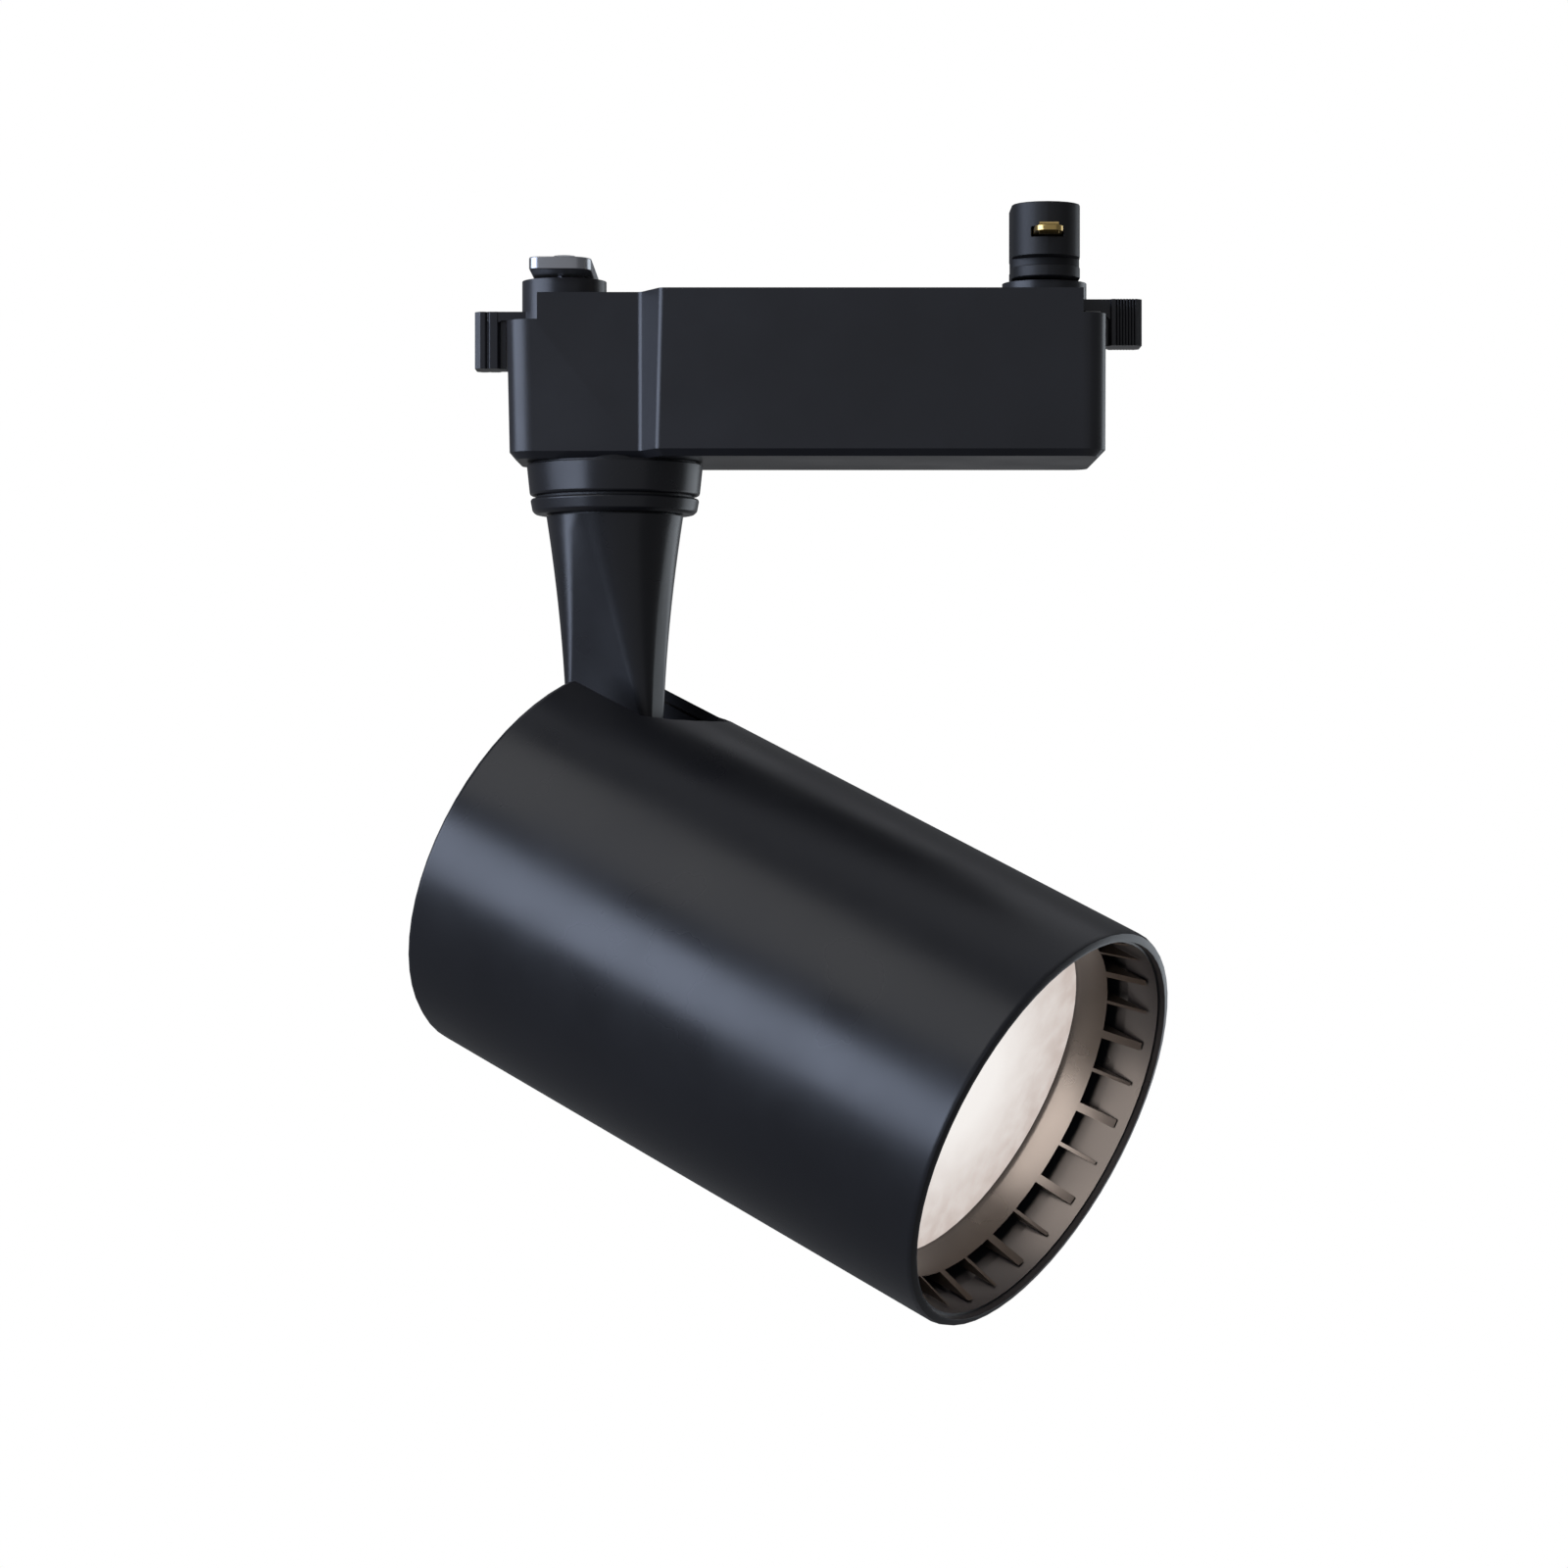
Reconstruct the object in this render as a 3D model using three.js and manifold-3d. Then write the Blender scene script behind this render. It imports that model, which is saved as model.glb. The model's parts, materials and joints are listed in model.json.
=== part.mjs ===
// A track spotlight: a lever-locked track adapter with its driver inside, a turning stem, and a tube head
// on a tilt joint.
// Millimetres. +Z is up, +X runs along the track towards the contact lever, and -Y is the front.
// The origin is the middle of the adapter's flat top, the face that lies against the track.
import * as THREE from "three";
import { mergeVertices } from "three/addons/utils/BufferGeometryUtils.js";
import Module from "manifold-3d";

const wasm = await Module();
wasm.setup();

// ---------------------------------------------------------------------------
// Driving dimensions
// ---------------------------------------------------------------------------
const GAP = 0.3; // left between faces that rest on each other
const BEYOND = 1; // how far a cutting tool runs past what it cuts
const FINE = 60; // facets round the head
const MEDIUM = 24; // facets round the joints' bores and the capacitors
const ROUND = 32; // facets round smaller visible turned parts
const SMALL = 12; // facets round screws and small holes

// Rest pose, as the lamp is aimed: turned towards the front, tilted down.
const PAN_DEG = 30.9;
const TILT_DEG = 24.2;

// Adapter casing: a narrow block over the stem widens by a sloping shoulder into the driver box.
const HALF_LENGTH = 42.7;
const HEIGHT = 23.6;
const WIDE_HALF = 16.2;
const WIDE_DRAFT = 1.2; // the driver box loses this on each side towards its bottom
const NARROW_HALF = 10.4;
const END_DRAFT = 0.5;
const SHOULDER_X = -23.3;
const SHOULDER_RUN = 2.9;
const CORNER = 3.6;
const BOTTOM_EDGE = 1;
const WALL = 1.6;
const FLOOR = 2;
const COVER = 1.6;

// Levers: each turns about a hub near its end of the adapter, from locked (rest) a quarter turn towards +Y.
const HUB_X = 34.7;
const HUB_R = 6.1;
const SPIGOT_R = 4.4;
const TAB_INNER = 9.1; // from the hub axis to the finger tab
const TAB_ROOT = { inner: 8.3, half: 2.2 }; // a thinner web on the tab's side towards the casing
const SWING_R = 8; // what the tab swings round
const ARM_HALF = 2.9;
const SWING_HALF = 3.8; // the room left for a lever each side of its middle
const WEB = 1.6; // thickness of the casing under a lever
const LOCK = {
  side: -1,
  tabOuter: 12.8,
  tabHalf: 3,
  tabLow: -10.2,
  armLow: -3.3,
  armTop: -2,
  ledge: -3.8,
  notch: 4.6,
  grooves: 1,
};
const CONTACT = {
  side: 1,
  tabOuter: 13.9,
  tabHalf: 3.4,
  tabLow: -6.9,
  armLow: -1.9,
  armTop: -0.2,
  ledge: -3.4,
  notch: 3.4,
  grooves: 7,
};

// Stem and pan joint, on a vertical axis through the narrow block.
const PAN_X = -27.4;
const COLLAR = { topR: 12.75, bottomR: 12.3, low: -28.4 };
const RING = { topR: 12.2, bottomR: 11.9, top: -28.8, low: -31.1 };
const SPINDLE = { r: 4.6, bore: 2.6, top: -12.6, low: -44 };
const STEM = { topR: 9.9, lowHalf: 7.3, top: -31.4, loftLow: -62.5, narrowing: 1.85, flattening: 1.13 };
const TANG = { halfWidth: 7.5, halfThickness: 2.4, corner: 1.1 };
const TILT_Z = -70.7;

// Head, in its own frame: the tilt pivot is the origin, +X is the beam, +Z is up.
const HEAD_R = 30;
const AXIS_Z = -14; // the tube's axis is this far below the pivot
const REAR_X = -7.4;
const FRONT_X = 82.9;
const BORE_R = 28.6;
const LIP_R = 28.2; // the tube's mouth is a little narrower than its bore
const LIP_X = 77;
const RIM_ROUND = 0.9;
const REAR_ROUND = 1.2;
const SLOT = { half: 10.5, noseX: 12.1, noseR: 12 };
const POCKET = { wall: 1.4, floorZ: -9, rearX: -5.2 };
const PIVOT = { r: 3, bore: 1.6, bossR: 7, reach: 16, nutR: 5.2, nutRoomR: 6 };
const REAR_COVER = { x: -7.1, thick: 1.6 };
const BULKHEAD = { x: -3.2, thick: 1.6 };
const SINK = { baseX: 36, baseThick: 5.7, finX: 15, finPitch: 6, finThick: 1.6 };
const LENS = { r: 25.6, x: 68.3, thick: 2 };
const LENS_RING = { outerR: 26.5, frontX: 74.8, lipR: 25.2, lipX: 71.2, rearX: 64 };
const RIBS = { count: 28, firstDeg: 8.5, thick: 1.3, thin: 0.55, tipX: 80.4 };
const VENTS = { count: 5, pitch: 5, half: 1, low: -36, high: -29 };
const LEAD_R = 1;
const LEAD_BORE = 1.6; // the holes the head's lead runs through
const LEAD_Y = 12; // where the head's lead runs, beside the tilt joint

// Small screws' shank radii and holes.
const COVER_SCREW = { r: 1.1, length: 9, headR: 2.4, headLow: -1.5, headTop: -0.15, holeR: 1.5, sinkR: 2.8 };
const SET_SCREW = { r: 1.5, length: 7, x: SINK.baseX + SINK.baseThick / 2, turns: [Math.PI, -Math.PI / 2] };
const HOLDER_SCREW = { r: 1.1, length: 7, tapR: 1.4, holeR: 1.7, away: 15 };
const TIE_SCREW = { r: 1.3, length: 42, tapR: 1.6, holeR: 1.8 };
const REAR_SCREW = { r: 1, length: 5, tapR: 1.3, holeR: 1.5 };

// ---------------------------------------------------------------------------
// Solids: plain geometries that are joined and cut
// ---------------------------------------------------------------------------
function toManifold(geometry) {
  const bare = geometry.clone();
  bare.deleteAttribute("normal");
  bare.deleteAttribute("uv");
  const merged = mergeVertices(bare, 1e-4);
  return new wasm.Manifold(
    new wasm.Mesh({
      numProp: 3,
      vertProperties: merged.attributes.position.array,
      triVerts: new Uint32Array(merged.index.array),
    }),
  );
}

function toGeometry(manifold) {
  const { vertProperties, triVerts } = manifold.getMesh();
  return new THREE.BufferGeometry()
    .setAttribute("position", new THREE.BufferAttribute(new Float32Array(vertProperties), 3))
    .setIndex(new THREE.BufferAttribute(new Uint32Array(triVerts), 1));
}

function combine(operation, [first, ...rest]) {
  const whole = rest.reduce((sum, part) => sum[operation](toManifold(part)), toManifold(first));
  return toGeometry(whole);
}

const join = (...parts) => combine("add", parts);
const cut = (...parts) => combine("subtract", parts);
const overlapOf = (...parts) => combine("intersect", parts);

function box(x0, x1, y0, y1, z0, z1) {
  return new THREE.BoxGeometry(x1 - x0, y1 - y0, z1 - z0).translate(
    (x0 + x1) / 2,
    (y0 + y1) / 2,
    (z0 + z1) / 2,
  );
}

// An upright round bar at x, y.
function post(radius, z0, z1, x = 0, y = 0, facets = SMALL) {
  return new THREE.CylinderGeometry(radius, radius, z1 - z0, facets)
    .rotateX(Math.PI / 2)
    .translate(x, y, (z0 + z1) / 2);
}

// A solid turned about the Z axis from [radius, height] points, which run anticlockwise.
function turned(profile, facets = ROUND) {
  const points = profile.map(([radius, height]) => new THREE.Vector2(radius, height));
  return new THREE.LatheGeometry(points, facets).rotateX(Math.PI / 2);
}

// A flat ring about the Z axis.
function ring(outer, inner, z0, z1, facets = ROUND) {
  return turned([[inner, z0], [outer, z0], [outer, z1], [inner, z1], [inner, z0]], facets);
}

function plate(outline, z0, z1) {
  const shape = new THREE.Shape(outline);
  return new THREE.ExtrudeGeometry(shape, { depth: z1 - z0, bevelEnabled: false }).translate(0, 0, z0);
}

// A closed skin over outlines of equal point counts, lowest first; each is a list of Vector3.
function loft(outlines) {
  const count = outlines[0].length;
  const positions = outlines.flat().flatMap((point) => point.toArray());
  const faces = [];
  for (let level = 0; level + 1 < outlines.length; level++) {
    for (let i = 0; i < count; i++) {
      const a = level * count + i;
      const b = level * count + ((i + 1) % count);
      faces.push(a, b, b + count, a, b + count, a + count);
    }
  }
  const capOf = (outline) =>
    THREE.ShapeUtils.triangulateShape(outline.map((point) => new THREE.Vector2(point.x, point.y)), []);
  const top = (outlines.length - 1) * count;
  capOf(outlines[0]).forEach(([a, b, c]) => faces.push(a, c, b));
  capOf(outlines.at(-1)).forEach(([a, b, c]) => faces.push(top + a, top + b, top + c));
  return new THREE.BufferGeometry()
    .setAttribute("position", new THREE.Float32BufferAttribute(positions, 3))
    .setIndex(faces);
}

// A tube of leads along a smooth route of [x, y, z] points.
function lead(route, steps, radius = LEAD_R) {
  const path = new THREE.CatmullRomCurve3(route.map((point) => new THREE.Vector3(...point)));
  const section = new THREE.Shape();
  section.absarc(0, 0, radius, 0, 2 * Math.PI);
  return new THREE.ExtrudeGeometry(section, { steps, extrudePath: path, curveSegments: 4 });
}

// Points of a polygon whose corners, [x, y, radius], are rounded by arcs. It runs anticlockwise.
function roundedOutline(corners, arcSteps = 5) {
  return corners.flatMap(([x, y, radius], i) => {
    const corner = new THREE.Vector2(x, y);
    const toward = (other) => new THREE.Vector2(other[0], other[1]).sub(corner).normalize();
    const back = toward(corners.at(i - 1));
    const ahead = toward(corners[(i + 1) % corners.length]);
    const halfAngle = Math.acos(back.dot(ahead)) / 2;
    const middle = back.clone().add(ahead).normalize();
    const centre = middle.multiplyScalar(radius / Math.sin(halfAngle)).add(corner);
    const reach = radius / Math.tan(halfAngle);
    const start = back.multiplyScalar(reach).add(corner).sub(centre);
    const end = ahead.multiplyScalar(reach).add(corner).sub(centre);
    const sweep = Math.atan2(start.cross(end), start.dot(end));
    return Array.from({ length: arcSteps + 1 }, (_, step) =>
      start.clone().rotateAround(new THREE.Vector2(), (sweep * step) / arcSteps).add(centre),
    );
  });
}

const at = (outline, z) => outline.map((point) => new THREE.Vector3(point.x, point.y, z));

// Turn a solid made along +Z so that it points along another axis.
const alongX = (geometry) => geometry.rotateY(Math.PI / 2);
const alongY = (geometry) => geometry.rotateX(-Math.PI / 2);

// ---------------------------------------------------------------------------
// Materials
// ---------------------------------------------------------------------------
function material(color, roughness, metalness = 0) {
  return new THREE.MeshStandardMaterial({ color, roughness, metalness });
}

const blackPlastic = material(0x28292c, 0.5);
const blackPaint = material(0x26272b, 0.42, 0.1);
const ringCoating = material(0x4a413c, 0.45);
const darkNylon = material(0x1b1b1d, 0.6);
const whiteNylon = material(0xd9d7cf, 0.55);
const steel = material(0xb9bbbe, 0.32, 1);
const blackSteel = material(0x2c2d30, 0.4, 0.9);
const brass = material(0xc9a24f, 0.3, 1);
const copper = material(0xb8703f, 0.35, 1);
const aluminium = material(0xc4c6c9, 0.4, 1);
const reflectorFinish = material(0xe4e5e6, 0.12, 1);
const circuitBoard = material(0x1f5a34, 0.5);
const whiteBoard = material(0xecebe6, 0.45);
const ferrite = material(0x3a3938, 0.6);
const windingTape = material(0xd8b23c, 0.45);
const capacitorSleeve = material(0x2a2f45, 0.35);
const phosphor = material(0xe8c64a, 0.5);
const opal = material(0xeee8e2, 0.3);
const leadSleeve = material(0xe2e0da, 0.5);

// ---------------------------------------------------------------------------
// Scene graph: the adapter stands still, the levers and the stem turn on it, the head tilts on the stem
// ---------------------------------------------------------------------------
const group = new THREE.Group();

const lockGroup = new THREE.Group();
lockGroup.position.x = LOCK.side * HUB_X;
lockGroup.rotation.z = Math.PI;

const contactGroup = new THREE.Group();
contactGroup.position.x = CONTACT.side * HUB_X;

const stemGroup = new THREE.Group();
stemGroup.position.x = PAN_X;
stemGroup.rotation.z = -THREE.MathUtils.degToRad(PAN_DEG);

const headGroup = new THREE.Group();
headGroup.position.z = TILT_Z;
headGroup.rotation.y = THREE.MathUtils.degToRad(TILT_DEG);

group.add(lockGroup, contactGroup, stemGroup);
stemGroup.add(headGroup);

function addPart(parent, name, geometry, finish) {
  const mesh = new THREE.Mesh(geometry, finish);
  mesh.name = name;
  parent.add(mesh);
  return mesh;
}

// ---------------------------------------------------------------------------
// Fasteners, made pointing up along +Z with the underside of the head at the origin
// ---------------------------------------------------------------------------
function panScrew(shankR, length) {
  const headR = 1.9 * shankR;
  const headHeight = 1.1 * shankR;
  const recess = 0.5 * shankR;
  const body = turned([
    [0, -length],
    [shankR, -length],
    [shankR, 0],
    [headR, 0],
    [headR, 0.6 * headHeight],
    [0.7 * headR, headHeight],
    [0, headHeight],
  ], SMALL);
  const halfWidth = 0.35 * shankR;
  const halfLength = 0.6 * headR;
  const recessLow = headHeight - recess;
  const slot = box(-halfWidth, halfWidth, -halfLength, halfLength, recessLow, headHeight + BEYOND);
  return cut(body, slot, slot.clone().rotateZ(Math.PI / 2));
}

function hexNut(cornerR, bore, height) {
  return cut(post(cornerR, 0, height, 0, 0, 6), post(bore, -BEYOND, height + BEYOND));
}

// ---------------------------------------------------------------------------
// Adapter casing
// ---------------------------------------------------------------------------
// The casing's outline in plan, shrunk by inset, with the drafts taken off each side.
function adapterOutline(inset, wideDraft = 0, endDraft = 0) {
  const wide = WIDE_HALF - inset - wideDraft;
  const narrow = NARROW_HALF - inset;
  const slope = Math.atan2(WIDE_HALF - NARROW_HALF, SHOULDER_RUN);
  const shoulderStart = SHOULDER_X + inset * Math.tan(slope / 2);
  const shoulderEnd = shoulderStart + (wide - narrow) / Math.tan(slope);
  const left = -HALF_LENGTH + inset + endDraft;
  const right = HALF_LENGTH - inset;
  const corner = Math.max(CORNER - inset, 0.6);
  const lowerHalf = [
    [left, -narrow, corner],
    [shoulderStart, -narrow, 1],
    [shoulderEnd, -wide, 1],
    [right, -wide, corner],
  ];
  const upperHalf = lowerHalf.map(([x, y, radius]) => [x, -y, radius]).reverse();
  return roundedOutline([...lowerHalf, ...upperHalf]);
}

const SCREW_SPOTS = [
  [-14, -10.6],
  [-14, 10.6],
  [22, -10.6],
  [22, 10.6],
];
const SCREW_POST = { r: 2.5, footR: 3.4, footTop: -19.7, boreLow: -12 };
const STEM_HOLE_R = 10;
const TAB_CLEAR = 0.6; // left under a finger tab

// The room over a lever's web: open round its end, and on the +Y side as far as the arm swings.
function leverNotch({ side, ledge, notch }) {
  const end = HALF_LENGTH + BEYOND;
  const acrossEnd = [side * (HALF_LENGTH - notch), side * end].sort((a, b) => a - b);
  const besideHub = [side * (HUB_X - SWING_HALF - TAB_CLEAR), side * end].sort((a, b) => a - b);
  return join(
    box(...acrossEnd, -WIDE_HALF - BEYOND, WIDE_HALF + BEYOND, ledge, BEYOND),
    box(...besideHub, 0, WIDE_HALF + BEYOND, ledge, BEYOND),
  );
}

// The deeper room beside the casing's end that the finger tab swings through.
function tabRoom({ side, tabLow }) {
  const reach = [side * (HUB_X - SWING_HALF), side * (HALF_LENGTH + BEYOND)].sort((a, b) => a - b);
  const sector = box(...reach, 0, WIDE_HALF + BEYOND, tabLow - TAB_CLEAR, BEYOND);
  return cut(sector, post(SWING_R, tabLow - 2 * BEYOND, 2 * BEYOND, side * HUB_X, 0, ROUND));
}

// What is left solid round a lever: its web, and the wall round the tab's room.
function leverBlock({ side, ledge, tabLow }) {
  const reach = [side * (HUB_X - 9), side * HALF_LENGTH].sort((a, b) => a - b);
  const web = box(...reach, -WIDE_HALF, WIDE_HALF, ledge - WEB, ledge);
  const roomReach = [side * (HUB_X - SWING_HALF - WALL), side * HALF_LENGTH].sort((a, b) => a - b);
  const roomWall = cut(
    box(...roomReach, 0, WIDE_HALF, tabLow - TAB_CLEAR - WALL, ledge),
    post(SWING_R - WALL, -HEIGHT, BEYOND, side * HUB_X, 0, ROUND),
  );
  return join(web, roomWall);
}

function makeHousing() {
  const shell = loft([
    at(adapterOutline(BOTTOM_EDGE, WIDE_DRAFT, END_DRAFT), -HEIGHT),
    at(adapterOutline(0, WIDE_DRAFT, END_DRAFT), -HEIGHT + BOTTOM_EDGE),
    at(adapterOutline(0), 0),
  ]);
  const levers = [LOCK, CONTACT];
  const room = cut(
    loft([
      at(adapterOutline(WALL, WIDE_DRAFT, END_DRAFT), -HEIGHT + FLOOR),
      at(adapterOutline(WALL), BEYOND),
    ]),
    ...levers.map(leverBlock),
  );
  const screwPosts = SCREW_SPOTS.flatMap(([x, y]) => [
    post(SCREW_POST.r, -HEIGHT + FLOOR / 2, -COVER - GAP, x, y),
    post(SCREW_POST.footR, -HEIGHT + FLOOR / 2, SCREW_POST.footTop, x, y),
  ]);
  const screwHoles = SCREW_SPOTS.map(([x, y]) =>
    post(COVER_SCREW.r + 0.2, SCREW_POST.boreLow, BEYOND, x, y),
  );
  const hubHoles = levers.map(({ side, ledge }) =>
    post(SPIGOT_R + GAP, ledge - WEB - BEYOND, ledge + BEYOND, side * HUB_X, 0, ROUND),
  );
  const stemHole = post(STEM_HOLE_R, -HEIGHT - BEYOND, -HEIGHT + FLOOR + BEYOND, PAN_X, 0, ROUND);
  const hollow = cut(shell, room, ...levers.map(leverNotch), ...levers.map(tabRoom));
  return cut(join(hollow, ...screwPosts), ...screwHoles, ...hubHoles, stemHole);
}

function makeCover() {
  const levers = [LOCK, CONTACT];
  const { holeR, headLow, sinkR } = COVER_SCREW;
  const countersink = turned([
    [0, -COVER - BEYOND],
    [holeR, -COVER - BEYOND],
    [holeR, headLow + 0.2],
    [sinkR, 0.1],
    [sinkR, BEYOND],
    [0, BEYOND],
  ], SMALL);
  return cut(
    plate(adapterOutline(WALL + GAP), -COVER, 0),
    ...levers.map(leverNotch),
    ...levers.map(({ side }) => post(HUB_R + GAP, -COVER - BEYOND, BEYOND, side * HUB_X, 0, ROUND)),
    ...SCREW_SPOTS.map(([x, y]) => countersink.clone().translate(x, y, 0)),
  );
}

// A countersunk screw whose head lies just under the cover's top.
function coverScrew() {
  const { r, length, headR, headLow, headTop } = COVER_SCREW;
  const body = turned([[0, -length], [r, -length], [r, headLow], [headR, headTop], [0, headTop]], SMALL);
  const slot = box(-0.3, 0.3, -1.5, 1.5, headTop - 0.45, BEYOND);
  return cut(body, slot, slot.clone().rotateZ(Math.PI / 2));
}

addPart(group, "adapter_housing", makeHousing(), blackPlastic);
addPart(group, "adapter_cover", makeCover(), blackPlastic);
SCREW_SPOTS.forEach(([x, y], i) =>
  addPart(group, `cover_screw_${i + 1}`, coverScrew(), blackSteel).position.set(x, y, 0),
);

// ---------------------------------------------------------------------------
// Driver, inside the adapter
// ---------------------------------------------------------------------------
const BOARD = { x0: -17.5, x1: 26.5, half: 12.9, low: SCREW_POST.footTop + GAP, top: -17.8 };
const ON_BOARD = BOARD.top + GAP;
const TRANSFORMER = { x0: -2, x1: 13, half: 6.5, limb: 2.5, yoke: 2, top: -5.4, windingHalf: 8 };
const CAPACITOR = { r: 3.6, top: -6.2, edge: 0.4, output: [-6.5, 5.5], input: [16.3, -8] };
const CHOKE = { x: -6.5, y: -6.5, flangeR: 4, waistR: 3, flange: 1.2, top: -10 };
const TERMINAL = { length: 6, half: 4, poleY: 2, mouthHalf: 1.3, mouthLow: -14.6, mouthTop: -11.6 };

function makeDriverBoard() {
  return cut(
    box(BOARD.x0, BOARD.x1, -BOARD.half, BOARD.half, BOARD.low, BOARD.top),
    ...SCREW_SPOTS.map(([x, y]) => post(SCREW_POST.r + GAP, BOARD.low - BEYOND, BOARD.top + BEYOND, x, y)),
  );
}

// A ferrite frame round a wound bobbin that shows at its front and back.
function makeTransformerCore() {
  const { x0, x1, half, limb, yoke, top } = TRANSFORMER;
  const frame = box(x0, x1, -half, half, ON_BOARD, top);
  return cut(frame, box(x0 + limb, x1 - limb, -half - BEYOND, half + BEYOND, ON_BOARD + yoke, top - yoke));
}

function makeTransformerWinding() {
  const { x0, x1, limb, yoke, top, windingHalf } = TRANSFORMER;
  const inset = limb + GAP;
  return box(x0 + inset, x1 - inset, -windingHalf, windingHalf, ON_BOARD + yoke + GAP, top - yoke - GAP);
}

function makeCapacitor([x, y]) {
  const { r, top, edge } = CAPACITOR;
  const profile = [[0, ON_BOARD], [r, ON_BOARD], [r, top - edge], [r - edge, top], [0, top]];
  return turned(profile, MEDIUM).translate(x, y, 0);
}

// A bobbin's two flanges with the winding between them.
function makeChoke() {
  const { x, y, flangeR, waistR, flange, top } = CHOKE;
  return turned([
    [0, ON_BOARD],
    [flangeR, ON_BOARD],
    [flangeR, ON_BOARD + flange],
    [waistR, ON_BOARD + flange],
    [waistR, top - flange],
    [flangeR, top - flange],
    [flangeR, top],
    [0, top],
  ], MEDIUM).translate(x, y, 0);
}

// A two-pole terminal block whose mouths open at x0 on the given side.
function makeTerminal(x0, side, top) {
  const { length, half, poleY, mouthHalf, mouthLow, mouthTop } = TERMINAL;
  const reach = [x0, x0 - side * length].sort((a, b) => a - b);
  const mouthReach = [x0 + side * BEYOND, x0 - side * (length - 2)].sort((a, b) => a - b);
  const mouths = [-poleY, poleY].map((y) =>
    box(...mouthReach, y - mouthHalf, y + mouthHalf, mouthLow, mouthTop),
  );
  return cut(box(...reach, -half, half, ON_BOARD, top), ...mouths);
}

addPart(group, "driver_board", makeDriverBoard(), circuitBoard);
addPart(group, "transformer_core", makeTransformerCore(), ferrite);
addPart(group, "transformer_winding", makeTransformerWinding(), windingTape);
addPart(group, "output_capacitor", makeCapacitor(CAPACITOR.output), capacitorSleeve);
addPart(group, "input_capacitor", makeCapacitor(CAPACITOR.input), capacitorSleeve);
addPart(group, "filter_choke", makeChoke(), copper);
addPart(group, "controller_chip", box(14, 18.2, 2, 8, ON_BOARD, ON_BOARD + 1.8), darkNylon);
addPart(group, "output_terminal", makeTerminal(-16.5, -1, -9), whiteNylon);
addPart(group, "input_terminal", makeTerminal(25, 1, -9.8), whiteNylon);

const outputRoute = [
  [-13, 2, -13.1],
  [-18, 2, -12.8],
  [-22.5, 1.6, -11.2],
  [-26.4, 0.3, -10],
  [PAN_X, 0, -12],
];
const inputRoute = [
  [21.6, 2, -13.1],
  [26.5, 2, -13],
  [30.5, 1.4, -12],
  [HUB_X - 0.5, 0.2, -10.4],
  [HUB_X, 0, -8.2],
];
addPart(group, "output_leads", lead(outputRoute, 14), leadSleeve);
addPart(group, "input_leads", lead(inputRoute, 14), leadSleeve);

// ---------------------------------------------------------------------------
// Pan joint: the collar is fixed in the casing, and the spindle holds the stem up through it
// ---------------------------------------------------------------------------
const COLLAR_FACETS = 64;
const COLLAR_TOP = -HEIGHT - GAP;
const WASHER_LOW = -HEIGHT + FLOOR + GAP;
const NUT_LOW = WASHER_LOW + 1 + GAP;

function makeCollar() {
  return turned([
    [SPINDLE.r + GAP, COLLAR.low],
    [COLLAR.bottomR - 0.25, COLLAR.low],
    [COLLAR.bottomR, COLLAR.low + 0.25],
    [COLLAR.topR, COLLAR_TOP],
    [STEM_HOLE_R - GAP, COLLAR_TOP],
    [STEM_HOLE_R - GAP, -HEIGHT + FLOOR],
    [SPINDLE.r + GAP, -HEIGHT + FLOOR],
    [SPINDLE.r + GAP, COLLAR.low],
  ], COLLAR_FACETS).translate(PAN_X, 0, 0);
}

function makePanRing() {
  return turned([
    [SPINDLE.r + GAP, RING.low],
    [RING.bottomR - 0.5, RING.low],
    [RING.bottomR, RING.low + 0.45],
    [RING.topR, RING.top - 0.25],
    [RING.topR - 0.25, RING.top],
    [SPINDLE.r + GAP, RING.top],
    [SPINDLE.r + GAP, RING.low],
  ], COLLAR_FACETS);
}

addPart(group, "pan_collar", makeCollar(), blackPaint);
addPart(stemGroup, "pan_ring", makePanRing(), blackPaint);
addPart(stemGroup, "pan_spindle", ring(SPINDLE.r, SPINDLE.bore, SPINDLE.low, SPINDLE.top, 32), steel);
addPart(stemGroup, "pan_washer", ring(8, SPINDLE.r + GAP, WASHER_LOW, WASHER_LOW + 1, 32), whiteNylon);
addPart(stemGroup, "pan_nut", hexNut(7.5, SPINDLE.r + GAP, 4).translate(0, 0, NUT_LOW), steel);

// ---------------------------------------------------------------------------
// Stem: round at the top, easing into a flat tang that the head hangs on
// ---------------------------------------------------------------------------
const STEM_FACETS = 44;
const STEM_LEVELS = 12;

// A rounded rectangle with one point for each direction of the outward normal.
function roundedSection(halfWidth, halfThickness, corner, z) {
  return Array.from({ length: STEM_FACETS }, (_, i) => {
    const angle = ((i + 0.5) * 2 * Math.PI) / STEM_FACETS;
    const x = Math.cos(angle);
    const y = Math.sin(angle);
    return new THREE.Vector3(
      Math.sign(x) * (halfWidth - corner) + corner * x,
      Math.sign(y) * (halfThickness - corner) + corner * y,
      z,
    );
  });
}

// The stem is a circle at its top, where fall is 0, and nears the tang's section where fall is 1.
function stemOutline(fall) {
  const { lerp } = THREE.MathUtils;
  const flatness = 1 - (1 - fall) ** STEM.flattening;
  return roundedSection(
    lerp(STEM.lowHalf, STEM.topR, (1 - fall) ** STEM.narrowing),
    lerp(STEM.topR, TANG.halfThickness, flatness),
    lerp(STEM.topR, TANG.corner, flatness),
    lerp(STEM.top, STEM.loftLow, fall),
  );
}

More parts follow.
